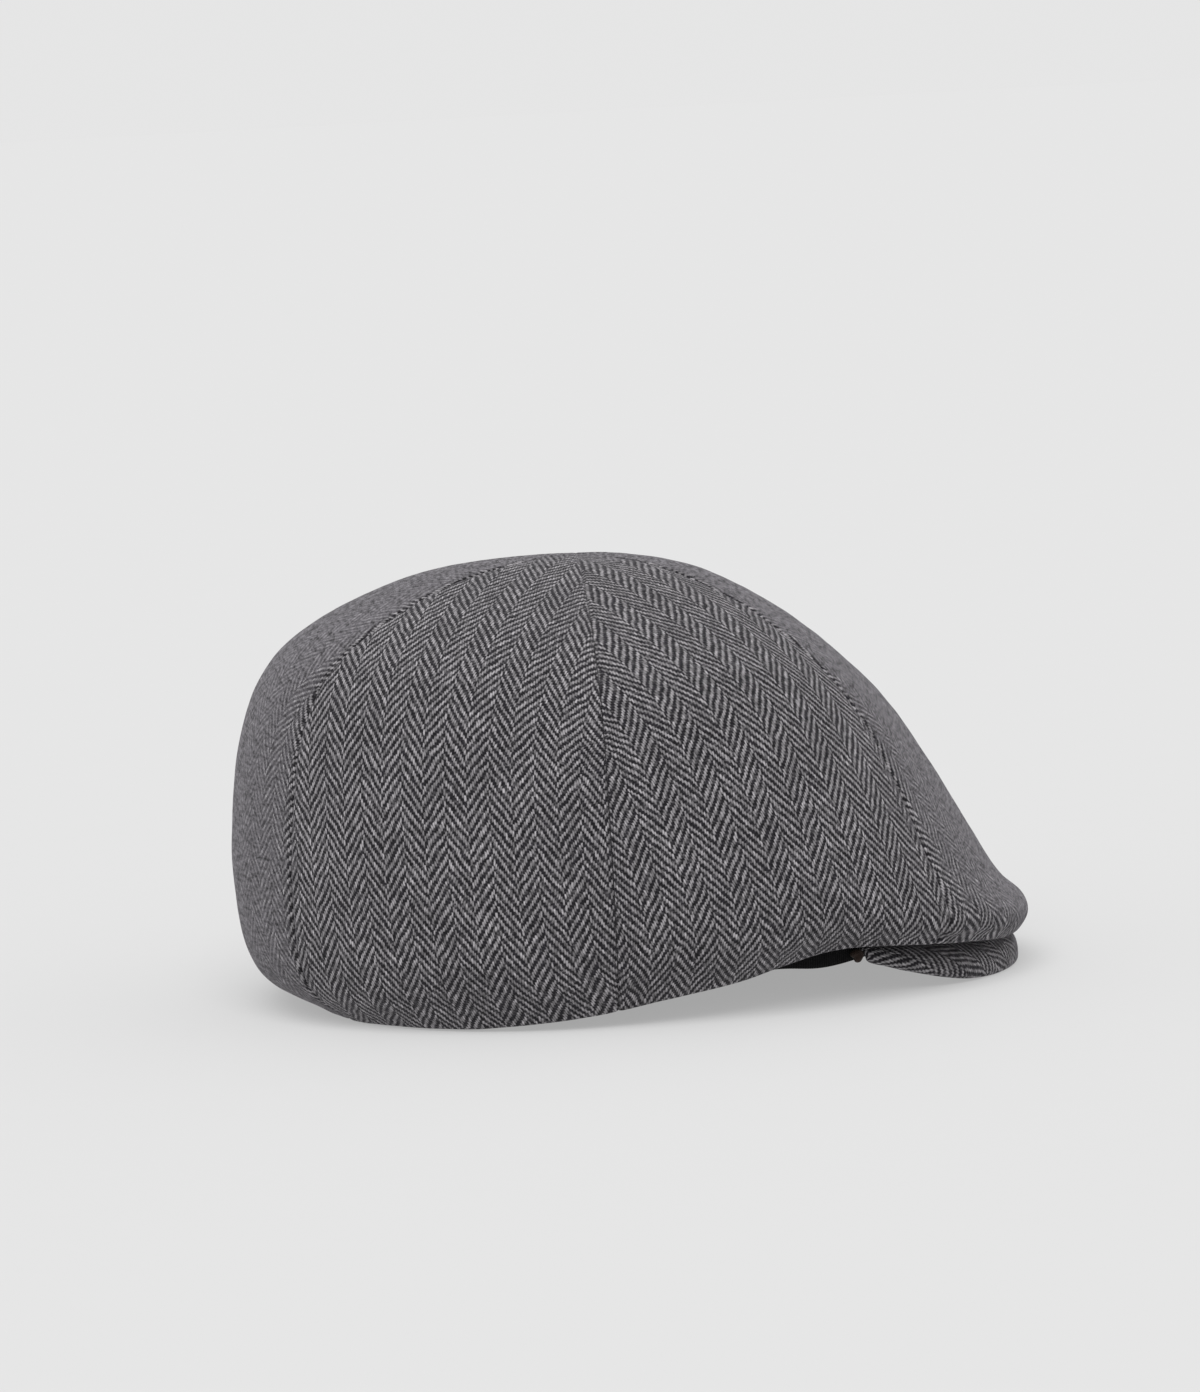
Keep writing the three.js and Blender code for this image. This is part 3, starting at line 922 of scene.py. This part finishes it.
    # The nap, in soft tufts and single hairs, as painted sheen: a grey mixed into the colour where the
    # cloth is seen edge on or along its weft.
    tufts = mottle(tree, stretched(tree, place, 150.0, 480.0), 1.0, 3.0)
    hairs = mottle(tree, stretched(tree, place, 330.0, 950.0), 1.0, 3.0)
    nap_shade = maths(
        tree, "ADD", spread(tree, tufts, 0.32, 0.68, 0.55, 1.45),
        spread(tree, hairs, 0.34, 0.66, -0.5, 0.5))
    nap = shaded(tree, tuple(weave.nap_and_sheen_wool), nap_shade)
    # Painted sheen: the weave's colour turns to the nap's grey by the angle the cloth is seen at.
    wool = mixed(tree, nap_and_painted_sheen_share(tree, weave, tufts, nap_sheen_reach), wool, nap)
    tree.links.new(wool, shader.inputs["Base Color"])
    relief = maths(tree, "MULTIPLY_ADD", fibres, 0.5, height)
    tree.links.new(bumped(tree, relief, 0.00022), shader.inputs["Normal"])
    tree.links.new(spread(tree, fibres, 0.2, 0.8, 0.82, 0.98), shader.inputs["Roughness"])
    shader.inputs["Specular IOR Level"].default_value = 0.2
    shader.inputs["Sheen Weight"].default_value = weave.fuzz
    shader.inputs["Sheen Roughness"].default_value = 0.45
    shader.inputs["Sheen Tint"].default_value = (0.72, 0.7, 0.74, 1.0)
    return material


def ribbed_band(weave):
    """Plain black woven band with fine upright ribs."""
    material, tree, shader = new_material("black_band_weave")
    place = cloth_place(tree)
    parts = split(tree, place)
    rib = maths(tree, "SINE", maths(tree, "MULTIPLY", parts[0], 2 * math.pi / 0.0009))
    thread = maths(tree, "SINE", maths(tree, "MULTIPLY", parts[1], 2 * math.pi / 0.0005))
    height = maths(tree, "ADD", rib, maths(tree, "MULTIPLY", thread, 0.4))
    # Painted shade: the band is darker in the grooves between its ribs and threads, with a random tone
    # over it.
    shade = spread(tree, maths(tree, "ADD", height, mottle(tree, place, 1500.0)), -1.4, 2.4, 0.6, 1.7)
    tree.links.new(shaded(tree, tuple(weave.band_cloth), shade), shader.inputs["Base Color"])
    tree.links.new(bumped(tree, height, 0.00008), shader.inputs["Normal"])
    roughness = spread(tree, mottle(tree, place, 300.0), 0.3, 0.7, 0.8, 0.95)
    tree.links.new(roughness, shader.inputs["Roughness"])
    shader.inputs["Specular IOR Level"].default_value = 0.1
    shader.inputs["Sheen Weight"].default_value = 0.03
    return material


def rolled_binding(weave):
    """Dark brown cotton binding, fine and slightly worn."""
    material, tree, shader = new_material("brown_binding_weave")
    place = tree.nodes.new("ShaderNodeTexCoord").outputs["Object"]
    parts = split(tree, place)
    slant = maths(tree, "ADD", parts[0], parts[2])
    thread = maths(tree, "SINE", maths(tree, "MULTIPLY", slant, 2 * math.pi / 0.0005))
    # Painted shade: the binding is darker between its slanting threads, with a random tone over it.
    shade = spread(tree, maths(tree, "ADD", thread, mottle(tree, place, 900.0)), -0.8, 1.8, 0.55, 1.6)
    tree.links.new(shaded(tree, tuple(weave.binding), shade), shader.inputs["Base Color"])
    tree.links.new(bumped(tree, thread, 0.00007), shader.inputs["Normal"])
    roughness = spread(tree, mottle(tree, place, 600.0), 0.3, 0.7, 0.6, 0.8)
    tree.links.new(roughness, shader.inputs["Roughness"])
    shader.inputs["Specular IOR Level"].default_value = 0.2
    shader.inputs["Sheen Weight"].default_value = 0.06
    return material


def pale_floor(stage):
    """Plain matt floor, lit from below too, so that the cap's shadow stays pale."""
    material, tree, shader = new_material("pale_floor")
    place = tree.nodes.new("ShaderNodeTexCoord").outputs["Object"]
    speck = spread(tree, mottle(tree, place, 40.0), 0.2, 0.8, 0.998, 1.002)
    tree.links.new(shaded(tree, tuple(stage.floor), speck), shader.inputs["Base Color"])
    shader.inputs["Roughness"].default_value = 1.0
    shader.inputs["Specular IOR Level"].default_value = 0.0
    shader.inputs["Emission Color"].default_value = (1.0, 1.0, 1.0, 1.0)
    shader.inputs["Emission Strength"].default_value = stage.floor_glow
    return material


def camera_at(azimuth, elevation, roll):
    """The directions right, up and back of a camera that looks at the cap."""
    turn, rise, tilt = (math.radians(value) for value in (azimuth, elevation, roll))
    back = Vector((
        math.sin(turn) * math.cos(rise), -math.cos(turn) * math.cos(rise), math.sin(rise)))
    right = (-back).cross(Vector((0.0, 0.0, 1.0))).normalized()
    up = right.cross(-back)
    return (
        right * math.cos(tilt) - up * math.sin(tilt),
        up * math.cos(tilt) + right * math.sin(tilt),
        back)


class CAP_OT_crown(bpy.types.Operator):
    """Sew the six panels of the crown"""

    bl_idname = "cap.crown"
    bl_label = "Crown panels"

    def execute(self, context):
        weave = context.scene.cap_weave
        smooth = herringbone_wool(weave, "herringbone_wool_cloth", SMOOTH_NAP_SHEEN_REACH)
        brushed = herringbone_wool(weave, "brushed_herringbone_wool_cloth", BRUSHED_NAP_SHEEN_REACH)
        for panel in PANELS:
            wool = brushed if panel["name"] == "panel_back" else smooth
            crown_panel(context.scene.cap_cloth, panel, wool)
        return {"FINISHED"}


class CAP_OT_peak(bpy.types.Operator):
    """Cover the stiff peak with cloth"""

    bl_idname = "cap.peak"
    bl_label = "Peak"

    def execute(self, context):
        weave = context.scene.cap_weave
        peak(herringbone_wool(weave, "herringbone_wool_on_the_peak", SMOOTH_NAP_SHEEN_REACH), weave)
        return {"FINISHED"}


class CAP_OT_sweatband(bpy.types.Operator):
    """Fit the black band inside the head opening"""

    bl_idname = "cap.sweatband"
    bl_label = "Sweatband"

    def execute(self, context):
        sweatband(ribbed_band(context.scene.cap_weave))
        return {"FINISHED"}


class CAP_OT_binding_ends(bpy.types.Operator):
    """Roll the two ends of the peak's binding"""

    bl_idname = "cap.binding_ends"
    bl_label = "Binding ends"

    def execute(self, context):
        brown = rolled_binding(context.scene.cap_weave)
        binding_end("peak_tab_left", 1, brown)
        binding_end("peak_tab_right", -1, brown)
        return {"FINISHED"}


class CAP_OT_stage(bpy.types.Operator):
    """Lay the pale floor and set the light and the camera"""

    bl_idname = "cap.stage"
    bl_label = "Floor, light and camera"

    def execute(self, context):
        stage = context.scene.cap_stage
        bm = bmesh.new()
        bmesh.ops.create_circle(bm, cap_ends=True, segments=96, radius=FLOOR_RADIUS)
        mesh = bpy.data.meshes.new("floor")
        bm.to_mesh(mesh)
        bm.free()
        mesh.materials.append(pale_floor(stage))
        floor = bpy.data.objects.new("floor", mesh)
        context.scene.collection.objects.link(floor)

        world = bpy.data.worlds.new("soft_sky")
        world.use_nodes = True
        sky = world.node_tree.nodes["Background"]
        sky.inputs["Color"].default_value = (1.0, 1.0, 1.0, 1.0)
        sky.inputs["Strength"].default_value = stage.sky_strength
        context.scene.world = world

        lamp = bpy.data.lights.new("broad_soft_light", "SUN")
        lamp.energy = stage.sun_strength
        lamp.angle = math.radians(LIGHT_SPREAD)
        light = bpy.data.objects.new("broad_soft_light", lamp)
        light.matrix_world = LIGHT_DIRECTION.to_track_quat("Z", "Y").to_matrix().to_4x4()
        context.scene.collection.objects.link(light)

        right, up, back = camera_at(CAMERA_AZIMUTH, CAMERA_ELEVATION, CAMERA_ROLL)
        place = (
            CAMERA_TARGET + back * CAMERA_DISTANCE
            - right * TARGET_RIGHT_OF_CENTRE + up * TARGET_BELOW_CENTRE)
        data = bpy.data.cameras.new("camera")
        data.sensor_fit = "HORIZONTAL"
        data.sensor_width = SENSOR_WIDTH
        data.lens = SENSOR_WIDTH * CAMERA_DISTANCE / FRAME_WIDTH_AT_TARGET
        data.clip_end = 200.0
        camera = bpy.data.objects.new("camera", data)
        camera.matrix_world = Matrix((
            (right.x, up.x, back.x, place.x), (right.y, up.y, back.y, place.y),
            (right.z, up.z, back.z, place.z), (0.0, 0.0, 0.0, 1.0)))
        context.scene.collection.objects.link(camera)
        context.scene.camera = camera
        context.scene.view_settings.view_transform = "Standard"
        return {"FINISHED"}


class CAP_PT_pieces(bpy.types.Panel):
    """The cap's pieces and their settings"""

    bl_idname = "CAP_PT_pieces"
    bl_label = "Cap"
    bl_space_type = "VIEW_3D"
    bl_region_type = "UI"
    bl_category = "Cap"

    def draw(self, context):
        for operator in OPERATORS:
            self.layout.operator(operator.bl_idname)
        for settings in (context.scene.cap_cloth, context.scene.cap_weave, context.scene.cap_stage):
            for name in settings.bl_rna.properties.keys():
                if name not in ("rna_type", "name"):
                    self.layout.prop(settings, name)


OPERATORS = (CAP_OT_crown, CAP_OT_peak, CAP_OT_sweatband, CAP_OT_binding_ends, CAP_OT_stage)
CLASSES = (CapClothSettings, CapWeaveSettings, CapStageSettings, *OPERATORS, CAP_PT_pieces)


def register():
    for item in CLASSES:
        bpy.utils.register_class(item)
    bpy.types.Scene.cap_cloth = PointerProperty(type=CapClothSettings)
    bpy.types.Scene.cap_weave = PointerProperty(type=CapWeaveSettings)
    bpy.types.Scene.cap_stage = PointerProperty(type=CapStageSettings)


def unregister():
    del bpy.types.Scene.cap_stage
    del bpy.types.Scene.cap_weave
    del bpy.types.Scene.cap_cloth
    for item in reversed(CLASSES):
        bpy.utils.unregister_class(item)


def main():
    register()
    bpy.ops.cap.crown()
    bpy.ops.cap.peak()
    bpy.ops.cap.sweatband()
    bpy.ops.cap.binding_ends()
    bpy.ops.cap.stage()


if __name__ == "__main__":
    main()
